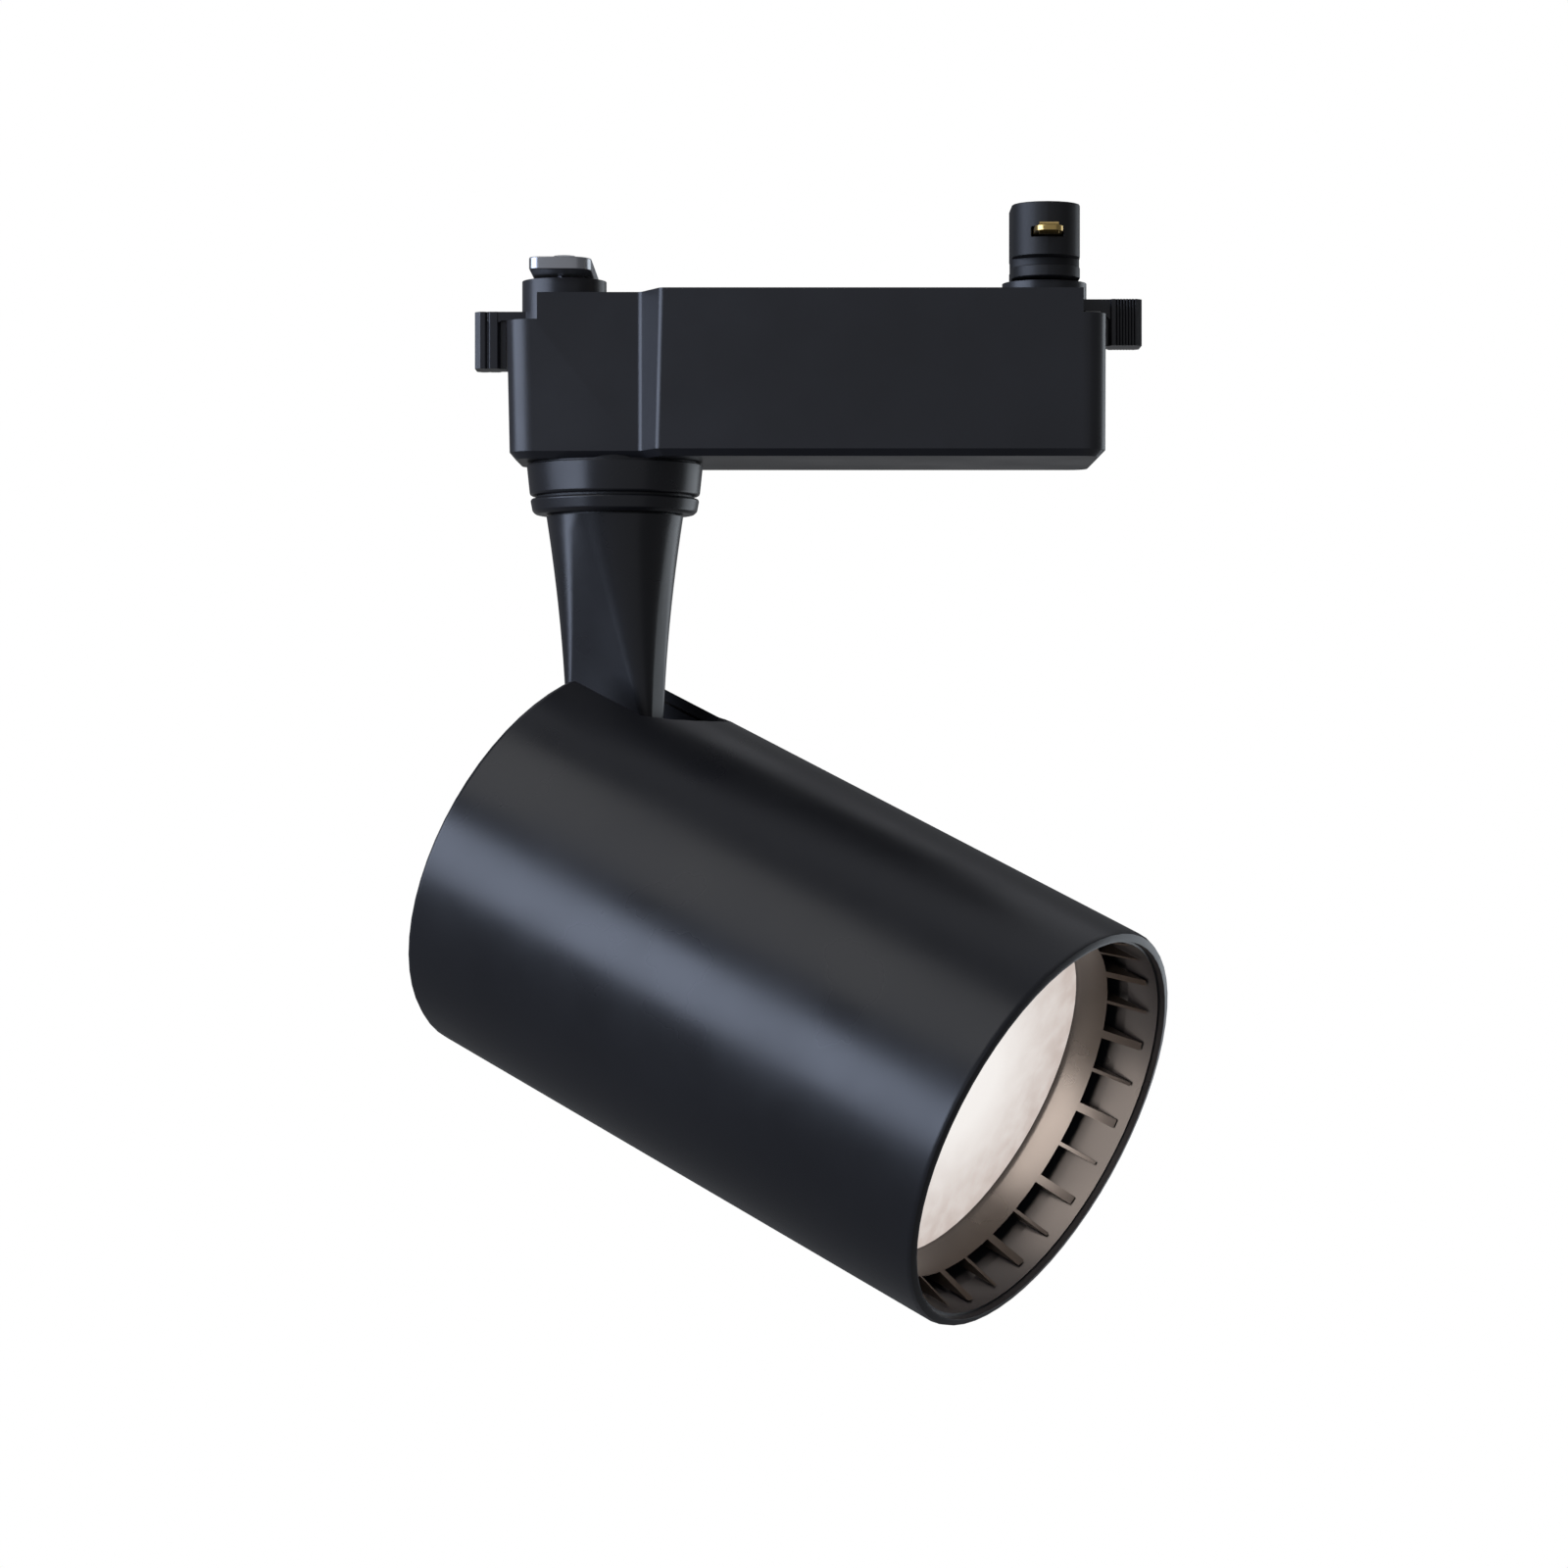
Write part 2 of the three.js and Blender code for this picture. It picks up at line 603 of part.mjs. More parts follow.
function makeTang() {
  const { halfWidth, halfThickness } = TANG;
  const outline = new THREE.Shape();
  outline.moveTo(halfWidth, STEM.loftLow + 0.5 - TILT_Z);
  outline.lineTo(-halfWidth, STEM.loftLow + 0.5 - TILT_Z);
  outline.lineTo(-halfWidth, 0);
  outline.absarc(0, 0, halfWidth, Math.PI, 2 * Math.PI);
  const slab = new THREE.ExtrudeGeometry(outline, { depth: 2 * halfThickness, bevelEnabled: false });
  return slab.rotateX(Math.PI / 2).translate(0, halfThickness, TILT_Z);
}

function makeStem() {
  const falls = Array.from({ length: STEM_LEVELS + 1 }, (_, i) => 1 - i / STEM_LEVELS);
  const body = join(loft(falls.map(stemOutline)), makeTang());
  return cut(
    body,
    post(SPINDLE.r + GAP, SPINDLE.low - GAP, STEM.top + BEYOND, 0, 0, MEDIUM),
    post(LEAD_R + 0.5, TILT_Z, SPINDLE.low + BEYOND),
    alongY(post(PIVOT.r + GAP, -5, 5, 0, 0, MEDIUM)).translate(0, 0, TILT_Z),
  );
}

addPart(stemGroup, "stem", makeStem(), blackPaint);
addPart(
  stemGroup,
  "stem_leads",
  post(LEAD_R, TILT_Z + LEAD_R + GAP, -12.4, 0, 0, 8),
  leadSleeve,
);

// ---------------------------------------------------------------------------
// Levers: arm, finger tab and hub in one, built with the arm along +X
// ---------------------------------------------------------------------------
// The finger tab in plan, with upright grooves in its two long sides.
function tabOutline({ tabOuter, tabHalf, grooves }) {
  const depth = 0.35;
  const corner = 0.8;
  const step = (tabOuter - TAB_INNER - 2 * corner) / (2 * grooves + 1);
  const edge = [
    new THREE.Vector2(TAB_ROOT.inner, -TAB_ROOT.half),
    new THREE.Vector2(TAB_INNER, -TAB_ROOT.half),
    new THREE.Vector2(TAB_INNER + 0.5 * corner, -tabHalf),
  ];
  for (let groove = 0; groove < grooves; groove++) {
    const x = TAB_INNER + corner + step * (2 * groove + 1);
    edge.push(
      new THREE.Vector2(x, -tabHalf),
      new THREE.Vector2(x + step / 2, -tabHalf + depth),
      new THREE.Vector2(x + step, -tabHalf),
    );
  }
  edge.push(new THREE.Vector2(tabOuter - corner, -tabHalf), new THREE.Vector2(tabOuter, -tabHalf + corner));
  const mirrored = edge.map(({ x, y }) => new THREE.Vector2(x, -y)).reverse();
  return [...edge, ...mirrored];
}

function makeLever(lever, hubTop) {
  const { tabOuter, tabLow, armLow, armTop, ledge } = lever;
  const hubLow = ledge + GAP;
  const armInTab = (TAB_INNER + tabOuter) / 2;
  const armSide = [
    new THREE.Vector2(0, armTop),
    new THREE.Vector2(0, armLow),
    new THREE.Vector2(TAB_INNER + hubLow - armLow, armLow),
    new THREE.Vector2(TAB_INNER + 0.1, hubLow),
    new THREE.Vector2(armInTab, hubLow),
    new THREE.Vector2(armInTab, armTop),
  ];
  const arm = plate(armSide, -ARM_HALF, ARM_HALF).rotateX(Math.PI / 2);
  const tab = plate(tabOutline(lever), tabLow, armTop);
  const hub = post(HUB_R, hubLow, hubTop, 0, 0, ROUND);
  const spigot = post(SPIGOT_R, ledge - WEB - 1.9, hubLow + 0.5, 0, 0, ROUND);
  const clipGroove = ring(SPIGOT_R + 1, SPIGOT_R - 0.7, ledge - WEB - 1.2, ledge - WEB - 0.2);
  return cut(join(arm, tab, hub, spigot), clipGroove);
}

// The snap ring that holds a lever's spigot under the web.
function makeSnapRing(ledge) {
  const whole = ring(SPIGOT_R + 1.2, SPIGOT_R - 0.45, ledge - WEB - 0.95, ledge - WEB - 0.4, ROUND);
  return cut(whole, box(0, 8, -1.6, 1.6, ledge - WEB - 3, ledge));
}

const LOCK_HUB_TOP = 2.6;
const WING = { thick: 1.8, halfLength: 13.6, halfWidth: 4.4 };

function makeLockLever() {
  return cut(makeLever(LOCK, LOCK_HUB_TOP), post(1.4, -4.5, LOCK_HUB_TOP + BEYOND));
}

function makeLockWing() {
  const { halfLength, halfWidth, thick } = WING;
  const corners = [
    [-halfWidth, -halfLength, 1.5],
    [halfWidth, -halfLength, 3.2],
    [halfWidth, halfLength, 1.5],
    [-halfWidth, halfLength, 3.2],
  ];
  const low = LOCK_HUB_TOP + GAP;
  return cut(plate(roundedOutline(corners), low, low + thick), post(1.8, low - 1, low + thick + 1));
}

addPart(lockGroup, "lock_lever", makeLockLever(), blackPlastic);
addPart(lockGroup, "lock_wing", makeLockWing(), steel);
addPart(
  lockGroup,
  "lock_screw",
  panScrew(1.2, 6).translate(0, 0, LOCK_HUB_TOP + WING.thick + 2 * GAP),
  steel,
);
addPart(lockGroup, "lock_snap_ring", makeSnapRing(LOCK.ledge), steel);

const TURRET = { low: 2.6, top: 13.2, half: 8.6, halfWidth: 4.9 };
const CONTACTS = [
  { name: "live_contact", side: 1, z: 6.4, finish: brass },
  { name: "neutral_contact", side: 1, z: 10.6, finish: brass },
  { name: "earth_contact", side: -1, z: 8.5, finish: brass },
];
const BLADE = { halfWidth: 2, thick: 0.8, inner: 3, outer: 13 };

function makeContactLever() {
  return cut(makeLever(CONTACT, TURRET.low - GAP), post(1.8, -8, 4));
}

// The insulating tower that carries the contacts up into the track.
function makeContactTurret() {
  const { low, top, half, halfWidth } = TURRET;
  const corners = [
    [-halfWidth, -half, halfWidth - 0.1],
    [halfWidth, -half, halfWidth - 0.1],
    [halfWidth, half, halfWidth - 0.1],
    [-halfWidth, half, halfWidth - 0.1],
  ];
  const waist = ring(20, HUB_R - 0.6, low + 1.6, low + 3);
  const bladeSlots = CONTACTS.map(({ side, z }) => {
    const reach = [side * (BLADE.inner - GAP), side * 12].sort((a, b) => a - b);
    const width = BLADE.halfWidth + GAP;
    return box(-width, width, ...reach, z - GAP, z + BLADE.thick + GAP);
  });
  return cut(plate(roundedOutline(corners), low, top), waist, ...bladeSlots, post(1.8, low - 1, low + 3));
}

// A flat blade whose tip is bent a little upwards to wipe along the conductor.
function makeBlade({ side, z }) {
  const { halfWidth, thick, inner, outer } = BLADE;
  const corners = [
    [-halfWidth, inner, 0.3],
    [halfWidth, inner, 0.3],
    [halfWidth, outer, 1.6],
    [-halfWidth, outer, 1.6],
  ];
  const flat = plate(roundedOutline(corners), z, z + thick);
  const bead = alongX(post(0.9, -halfWidth + 0.6, halfWidth - 0.6));
  const blade = join(flat, bead.translate(0, outer - 1.6, z + 0.5));
  return side > 0 ? blade : blade.rotateZ(Math.PI);
}

addPart(contactGroup, "contact_lever", makeContactLever(), blackPlastic);
addPart(contactGroup, "contact_turret", makeContactTurret(), darkNylon);
CONTACTS.forEach((contact) => addPart(contactGroup, contact.name, makeBlade(contact), contact.finish));
addPart(contactGroup, "contact_snap_ring", makeSnapRing(CONTACT.ledge), steel);
addPart(contactGroup, "contact_leads", post(LEAD_R, -7.8, 4.4, 0, 0, 8), leadSleeve);

// ---------------------------------------------------------------------------
// Head tube. Turned parts are made about +Z, laid along +X and dropped to the tube's axis
// ---------------------------------------------------------------------------
const onHeadAxis = (geometry) => alongX(geometry).translate(0, 0, AXIS_Z);

// The slot's outline in plan: two straight sides, open at the rear, and a round nose.
function slotOutline(grow, rearX) {
  const half = SLOT.half + grow;
  const noseR = SLOT.noseR + grow;
  const noseCentre = SLOT.noseX - SLOT.noseR;
  const spread = Math.asin(half / noseR);
  const outline = new THREE.Shape();
  outline.moveTo(rearX, half);
  outline.lineTo(rearX, -half);
  outline.absarc(noseCentre, 0, noseR, -spread, spread);
  return outline.getPoints(8);
}

function makeHeadTube() {
  const roundStep = RIM_ROUND * Math.cos(Math.PI / 4);
  const wall = onHeadAxis(turned([
    [BORE_R, REAR_X],
    [HEAD_R - REAR_ROUND, REAR_X],
    [HEAD_R - REAR_ROUND / 3, REAR_X + REAR_ROUND / 3],
    [HEAD_R, REAR_X + REAR_ROUND],
    [HEAD_R, FRONT_X - RIM_ROUND],
    [HEAD_R - RIM_ROUND + roundStep, FRONT_X - RIM_ROUND + roundStep],
    [HEAD_R - RIM_ROUND, FRONT_X],
    [LIP_R + 0.5, FRONT_X],
    [LIP_R + 0.3, FRONT_X - 0.9],
    [LIP_R, FRONT_X - 0.9],
    [LIP_R, LIP_X],
    [BORE_R, LIP_X],
    [BORE_R, REAR_X],
  ], FINE));
  const slot = plate(slotOutline(0, REAR_X - BEYOND), 0, 20);
  const screwHole = post(SET_SCREW.r + GAP, HEAD_R - 4, HEAD_R + BEYOND);
  return cut(wall, slot, ...SET_SCREW.turns.map((turn) => atSetScrew(screwHole, turn)));
}

// Set screws go through the tube into the heat sink's base: one from below, one from the far side.
const atSetScrew = (geometry, turn) => geometry.clone().rotateX(turn).translate(SET_SCREW.x, 0, AXIS_Z);

// ---------------------------------------------------------------------------
// Pivot bracket: a pocket under the slot, a bulkhead across the tube, and bosses for the tilt joint
// ---------------------------------------------------------------------------
const WASHER_INNER = TANG.halfThickness + GAP;
const WASHER_THICK = 1;
const BOSS_INNER = WASHER_INNER + WASHER_THICK + GAP;
const TIE_SPOTS = [
  [-15, -24.4],
  [15, -24.4],
];
const REAR_SCREW_SPOTS = [
  [-20.5, -14],
  [20.5, -14],
];

function makePivotBracket() {
  const { wall, floorZ, rearX } = POCKET;
  const outer = plate(slotOutline(wall, rearX), floorZ - wall, 20);
  const inner = plate(slotOutline(0, rearX - BEYOND), floorZ, 21);
  const bulkhead = onHeadAxis(post(BORE_R - GAP, BULKHEAD.x, BULKHEAD.x + BULKHEAD.thick, 0, 0, FINE));
  const insideTube = onHeadAxis(post(BORE_R - GAP, rearX, 20, 0, 0, FINE));
  const shell = cut(overlapOf(join(outer, bulkhead), insideTube), inner);
  const bosses = [-1, 1].map((side) => {
    const [y0, y1] = [side * BOSS_INNER, side * (SLOT.half + 0.1)].sort((a, b) => a - b);
    return alongY(post(PIVOT.bossR, y0, y1, 0, 0, 32));
  });
  return cut(
    join(shell, ...bosses),
    alongY(post(PIVOT.r + GAP, -20, 20, 0, 0, MEDIUM)),
    alongY(post(PIVOT.nutRoomR, SLOT.half + wall, 20)),
    alongY(post(PIVOT.nutRoomR, -20, -SLOT.half - wall)),
    ...TIE_SPOTS.map(([y, z]) => alongX(post(TIE_SCREW.holeR, -6, 0)).translate(0, y, z)),
    ...REAR_SCREW_SPOTS.map(([y, z]) => alongX(post(REAR_SCREW.tapR, -6, 0)).translate(0, y, z)),
  );
}

function makeRearCover() {
  const disc = onHeadAxis(post(BORE_R - GAP, REAR_COVER.x, REAR_COVER.x + REAR_COVER.thick, 0, 0, FINE));
  const vents = Array.from({ length: VENTS.count }, (_, i) => {
    const fromMiddle = i - (VENTS.count - 1) / 2;
    const y = VENTS.pitch * fromMiddle;
    return box(-10, 0, y - VENTS.half, y + VENTS.half, VENTS.low, VENTS.high + Math.abs(fromMiddle));
  });
  return cut(
    disc,
    plate(slotOutline(0.5, REAR_X - BEYOND), POCKET.floorZ - POCKET.wall - GAP, 20),
    ...vents,
    ...REAR_SCREW_SPOTS.map(([y, z]) => alongX(post(REAR_SCREW.holeR, -10, 0)).translate(0, y, z)),
  );
}

addPart(headGroup, "head_tube", makeHeadTube(), blackPaint);
addPart(headGroup, "pivot_bracket", makePivotBracket(), blackPaint);
addPart(headGroup, "rear_cover", makeRearCover(), blackPaint);

REAR_SCREW_SPOTS.forEach(([y, z], i) => {
  const { r, length } = REAR_SCREW;
  const screw = panScrew(r, length).rotateY(-Math.PI / 2).translate(REAR_COVER.x - GAP, y, z);
  addPart(headGroup, `rear_cover_screw_${i + 1}`, screw, blackSteel);
});
TIE_SPOTS.forEach(([y, z], i) => {
  const { r, length } = TIE_SCREW;
  const screw = panScrew(r, length).rotateY(-Math.PI / 2).translate(BULKHEAD.x - GAP, y, z);
  addPart(headGroup, `tie_screw_${i + 1}`, screw, steel);
});

// The tilt joint's hollow axle: the leads leave the stem through it.
function makePivotAxle() {
  const tube = alongY(ring(PIVOT.r, PIVOT.bore, -PIVOT.reach, PIVOT.reach, MEDIUM));
  const window = box(-4, 1.4, -1.4, 1.4, -1.4, 4);
  return cut(tube, window);
}

addPart(headGroup, "pivot_axle", makePivotAxle(), steel);
[-1, 1].forEach((side, i) => {
  const washer = ring(6.6, PIVOT.r + GAP, WASHER_INNER, WASHER_INNER + WASHER_THICK, 32);
  const nut = hexNut(PIVOT.nutR, PIVOT.r + 0.15, 2.6).translate(0, 0, SLOT.half + POCKET.wall + GAP);
  const turn = (-side * Math.PI) / 2;
  addPart(headGroup, `friction_washer_${i + 1}`, washer.rotateX(turn), whiteNylon);
  addPart(headGroup, `pivot_nut_${i + 1}`, nut.rotateX(turn), steel);
});

// ---------------------------------------------------------------------------
// Light source: heat sink, emitter board, holder, reflector
// ---------------------------------------------------------------------------
const BASE_FRONT = SINK.baseX + SINK.baseThick;
const BOARD_X = BASE_FRONT + GAP;
const BOARD_FRONT = BOARD_X + 1.6;
const HOLDER_X = BOARD_FRONT + GAP;
const HOLDER_SCREW_Z = [AXIS_Z - HOLDER_SCREW.away, AXIS_Z + HOLDER_SCREW.away];

// A tool along +X at y, z, for the holes the light source's pieces share.
const drill = (radius, x0, x1, y, z) => alongX(post(radius, x0, x1)).translate(0, y, z);

function makeHeatSink() {
  const base = onHeadAxis(post(BORE_R - GAP, SINK.baseX, BASE_FRONT, 0, 0, FINE));
  const reach = BORE_R - 2;
  const fins = [-4, -3, -2, -1, 0, 1, 3, 4].map((i) => {
    const y = i * SINK.finPitch;
    const half = Math.sqrt(reach ** 2 - y ** 2);
    const width = [y - SINK.finThick / 2, y + SINK.finThick / 2];
    return box(SINK.finX, SINK.baseX + 1, ...width, AXIS_Z - half, AXIS_Z + half);
  });
  const screwHole = post(SET_SCREW.r + GAP, HEAD_R - 10, HEAD_R);
  return cut(
    join(base, ...fins),
    ...SET_SCREW.turns.map((turn) => atSetScrew(screwHole, turn)),
    ...TIE_SPOTS.map(([y, z]) => drill(TIE_SCREW.tapR, SINK.baseX - 2, SINK.baseX + 4, y, z)),
    ...HOLDER_SCREW_Z.map((z) => drill(HOLDER_SCREW.tapR, BASE_FRONT - 4, BASE_FRONT + BEYOND, 0, z)),
    drill(LEAD_BORE, SINK.baseX - 2, BASE_FRONT + BEYOND, LEAD_Y, AXIS_Z),
  );
}

function makeEmitterBoard() {
  return cut(
    onHeadAxis(post(20, BOARD_X, BOARD_FRONT, 0, 0, ROUND)),
    ...HOLDER_SCREW_Z.map((z) => drill(HOLDER_SCREW.holeR, BOARD_X - 1, BOARD_FRONT + BEYOND, 0, z)),
    drill(LEAD_BORE, BOARD_X - BEYOND, BOARD_FRONT + BEYOND, LEAD_Y, AXIS_Z),
  );
}

function makeEmitter() {
  const substrate = box(HOLDER_X, HOLDER_X + 1, -7.5, 7.5, AXIS_Z - 7.5, AXIS_Z + 7.5);
  return join(substrate, onHeadAxis(post(5.6, HOLDER_X + 0.5, HOLDER_X + 1.6, 0, 0, ROUND)));
}

function makeEmitterHolder() {
  const frame = onHeadAxis(post(18.6, HOLDER_X, HOLDER_X + 3, 0, 0, ROUND));
  const seat = box(HOLDER_X - 1, HOLDER_X + 1.3, -7.8, 7.8, AXIS_Z - 7.8, AXIS_Z + 7.8);
  return cut(
    frame,
    seat,
    onHeadAxis(post(7, HOLDER_X, HOLDER_X + 4, 0, 0, ROUND)),
    ...HOLDER_SCREW_Z.map((z) => drill(HOLDER_SCREW.holeR, HOLDER_X - 1, HOLDER_X + 4, 0, z)),
    drill(LEAD_BORE, HOLDER_X - 1, HOLDER_X + 2, LEAD_Y, AXIS_Z),
  );
}

// A parabolic dish from the emitter to just behind the lens.
function makeReflector() {
  const rearX = HOLDER_X + 3 + GAP;
  const frontX = LENS.x - GAP;
  const rearR = 7.4;
  const frontR = 24.6;
  const skin = 0.8;
  const steps = 5;
  const curve = (t) => [rearR + (frontR - rearR) * Math.sqrt(t), rearX + (frontX - rearX) * t];
  const spots = Array.from({ length: steps + 1 }, (_, i) => (i / steps) ** 2);
  const outside = spots.map((t) => curve(t)).map(([r, x]) => [r + skin, x]);
  const inside = spots.map((t) => curve(t)).reverse();
  return onHeadAxis(turned([...outside, ...inside, outside[0]], 40));
}

// A headless screw with a hexagon socket, just below the tube's surface.
function makeSetScrew() {
  const top = HEAD_R - GAP;
  return cut(
    post(SET_SCREW.r, top - SET_SCREW.length, top),
    post(SET_SCREW.r / 2, top - 2, top + BEYOND, 0, 0, 6),
  );
}

addPart(headGroup, "heat_sink", makeHeatSink(), aluminium);
SET_SCREW.turns.forEach((turn, i) =>
  addPart(headGroup, `set_screw_${i + 1}`, atSetScrew(makeSetScrew(), turn), blackSteel),
);
addPart(headGroup, "emitter_board", makeEmitterBoard(), whiteBoard);
addPart(headGroup, "emitter", makeEmitter(), phosphor);
addPart(headGroup, "emitter_holder", makeEmitterHolder(), whiteNylon);
HOLDER_SCREW_Z.forEach((z, i) => {
  const { r, length } = HOLDER_SCREW;
  const screw = alongX(panScrew(r, length)).translate(HOLDER_X + 3 + GAP, 0, z);
  addPart(headGroup, `holder_screw_${i + 1}`, screw, steel);
});
addPart(headGroup, "reflector", makeReflector(), reflectorFinish);

const headRoute = [
  [0, 1.4, 0],
  [0, 8, 0],
  [0, 15.5, 0],
  [0.8, 18, -0.4],
  [4.5, 18.6, -2.5],
  [10, 16, -8],
  [15, LEAD_Y + 0.4, -12.8],
  [20, LEAD_Y, AXIS_Z],
  [32, LEAD_Y, AXIS_Z],
  [HOLDER_X + 0.6, LEAD_Y, AXIS_Z],
];
addPart(headGroup, "head_leads", lead(headRoute, 30), leadSleeve);

// ---------------------------------------------------------------------------
// Front: opal lens, and the ring of ribs that centres it in the tube's mouth
// ---------------------------------------------------------------------------
// A rib stands between the ring and the tube's wall and slopes up to the wall; every second one is thick.
function makeRib(index) {
  const { outerR, frontX, rearX } = LENS_RING;
  const half = (index % 2 ? RIBS.thin : RIBS.thick) / 2;
  const wallR = LIP_R - GAP;
  const outline = [
    new THREE.Vector2(rearX, outerR - 0.3),
    new THREE.Vector2(frontX - 0.1, outerR - 0.3),
    new THREE.Vector2(RIBS.tipX, wallR),
    new THREE.Vector2(rearX, wallR),
  ];
  const turn = THREE.MathUtils.degToRad(RIBS.firstDeg + (360 * index) / RIBS.count);
  return plate(outline, -half, half).rotateX(Math.PI / 2 + turn).translate(0, 0, AXIS_Z);
}

function makeLensRing() {
  const { outerR, frontX, lipR, lipX, rearX } = LENS_RING;
  const seatR = LENS.r + GAP;
  const body = onHeadAxis(turned([
    [seatR, rearX],
    [outerR, rearX],
    [outerR, frontX - 0.2],
    [outerR - 0.25, frontX],
    [lipR, lipX],
    [lipR, LENS.x + LENS.thick + GAP],
    [seatR, LENS.x + LENS.thick + GAP],
    [seatR, rearX],
  ], FINE));
  return join(body, ...Array.from({ length: RIBS.count }, (_, i) => makeRib(i)));
}

function makeLens() {
  return onHeadAxis(turned([
    [0, LENS.x],
    [LENS.r, LENS.x],
    [LENS.r, LENS.x + LENS.thick - 0.6],
    [LENS.r - 0.6, LENS.x + LENS.thick],
    [0, LENS.x + LENS.thick],
  ], FINE));
}

addPart(headGroup, "lens_ring", makeLensRing(), ringCoating);
addPart(headGroup, "lens", makeLens(), opal);

export default group;
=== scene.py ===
"""Looks, light and camera for the track spotlight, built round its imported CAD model."""
import json
import math

import bpy
from mathutils import Euler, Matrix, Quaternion, Vector


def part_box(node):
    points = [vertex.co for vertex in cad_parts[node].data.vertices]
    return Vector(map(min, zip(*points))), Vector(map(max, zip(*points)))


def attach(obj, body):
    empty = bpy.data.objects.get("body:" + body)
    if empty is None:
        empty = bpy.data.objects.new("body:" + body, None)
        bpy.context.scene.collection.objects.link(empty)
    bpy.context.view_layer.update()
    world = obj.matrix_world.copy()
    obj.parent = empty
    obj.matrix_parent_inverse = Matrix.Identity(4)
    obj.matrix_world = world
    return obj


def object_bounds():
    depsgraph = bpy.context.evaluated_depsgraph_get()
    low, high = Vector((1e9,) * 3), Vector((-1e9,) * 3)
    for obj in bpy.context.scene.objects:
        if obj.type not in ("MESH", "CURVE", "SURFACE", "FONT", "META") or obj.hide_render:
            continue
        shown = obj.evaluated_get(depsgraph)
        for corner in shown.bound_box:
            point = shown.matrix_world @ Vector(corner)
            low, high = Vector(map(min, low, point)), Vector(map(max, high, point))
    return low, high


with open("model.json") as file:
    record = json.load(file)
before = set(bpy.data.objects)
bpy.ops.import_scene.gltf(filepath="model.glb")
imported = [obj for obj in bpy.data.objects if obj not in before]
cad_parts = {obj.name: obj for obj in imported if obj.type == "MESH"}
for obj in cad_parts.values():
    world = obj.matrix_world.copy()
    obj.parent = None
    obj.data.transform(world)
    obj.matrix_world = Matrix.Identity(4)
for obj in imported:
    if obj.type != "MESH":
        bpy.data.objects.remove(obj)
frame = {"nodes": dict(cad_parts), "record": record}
cad_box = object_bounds()
nodes = frame["nodes"]

# ---------------------------------------------------------------------------
# Driving dimensions, in metres
# ---------------------------------------------------------------------------
MM = 0.001
CAD_GAP = 0.3 * MM  # left in the CAD between parts that rest on each other

CAMERA_PLACE = (-2.94 * MM, -630 * MM, -70 * MM)
CAMERA_LENS = 100
CAMERA_SENSOR = 36

# The rest pose: each turn takes +X to the way its part points.
PAN = math.radians(30.9)
TILT = math.radians(24.2)
HEAD_TURN = Euler((0, TILT, -PAN))
STEM_TURN = Euler((0, 0, -PAN))

# Edges and shading.
EDGE_ROUND = 0.25 * MM
SMOOTH_ANGLE = math.radians(32)
FLAT_ANGLE = math.radians(0.6)
SAME_PLACE = 0.002 * MM
TURNED = ("head_tube", "lens_ring", "lens")
TURNED_SHARE = 0.97  # least part of a turned face's squared normal that lies in its profile's plane
STEM_UPRIGHT = 0.1  # how far a normal on the stem turns to the rear before it is level

# Dark washers that fill the gaps of the pan joint with painted shade.
SHADE_WASHER_SLACK = 0.04 * MM
SHADE_WASHER_FACETS = 64
SPINDLE_CLEAR = 4.75 * MM
SPIGOT_CLEAR = 9.75 * MM
CASING_SHADE_RADIUS = 12 * MM
COLLAR_SHADE_RADIUS = 11.3 * MM
STEM_SHADE_RADIUS = 9.2 * MM

# The lens, and the lights ahead of its middle that stand for its glow.
LENS_RADIUS = 25.6 * MM
BRIGHT_SHARE = 0.25  # part of the lens's radius that is evenly bright
LENS_MIDDLE = (0.90, 0.865, 0.835, 1)
LENS_EDGE = (0.58, 0.50, 0.46, 1)
LENS_STRENGTH = 0.95
GLOW_COLOUR = (1.0, 0.83, 0.72)
WALL_GLOW = {"radius": 15 * MM, "ahead": 1.8 * MM, "power": 0.015}
RING_GLOW = {"radius": 8 * MM, "ahead": 5.7 * MM, "power": 0.024}

# The studio.
FLOOR_DROP = 0.6
FLOOR_RADIUS = 1.9
FLOOR_SIDES = 64
FLOOR_GLOW = 0.62
BACKDROP = (1, 1, 1, 1)
DIM_SURROUND = (0.95, 0.98, 1.05, 1)
DIM_STRENGTH = 0.125
WHITE = (1, 1, 1)
COOL = (0.96, 0.98, 1.06)
COOLER = (0.92, 1.0, 1.08)
BLUE = (0.80, 0.92, 1.2)


# ---------------------------------------------------------------------------
# Materials
# ---------------------------------------------------------------------------
def grown(colour, factor):
    return [min(1.0, channel * factor) for channel in colour[:3]] + [1]


def noise(tree, coordinates, scale, detail=3, stretch=None):
    texture = tree.nodes.new("ShaderNodeTexNoise")
    texture.inputs["Scale"].default_value = scale
    texture.inputs["Detail"].default_value = detail
    if stretch:
        mapping = tree.nodes.new("ShaderNodeMapping")
        mapping.inputs["Scale"].default_value = stretch
        tree.links.new(coordinates, mapping.inputs["Vector"])
        coordinates = mapping.outputs["Vector"]
    tree.links.new(coordinates, texture.inputs["Vector"])
    return texture.outputs["Fac"]


def spread(tree, factor, low, high):
    """The factor's middle range, eased to run from low to high."""
    remap = tree.nodes.new("ShaderNodeMapRange")
    remap.interpolation_type = "SMOOTHSTEP"
    remap.inputs["From Min"].default_value = 0.2
    remap.inputs["From Max"].default_value = 0.8
    remap.inputs["To Min"].default_value = low
    remap.inputs["To Max"].default_value = high
    tree.links.new(factor, remap.inputs["Value"])
    return remap.outputs["Result"]


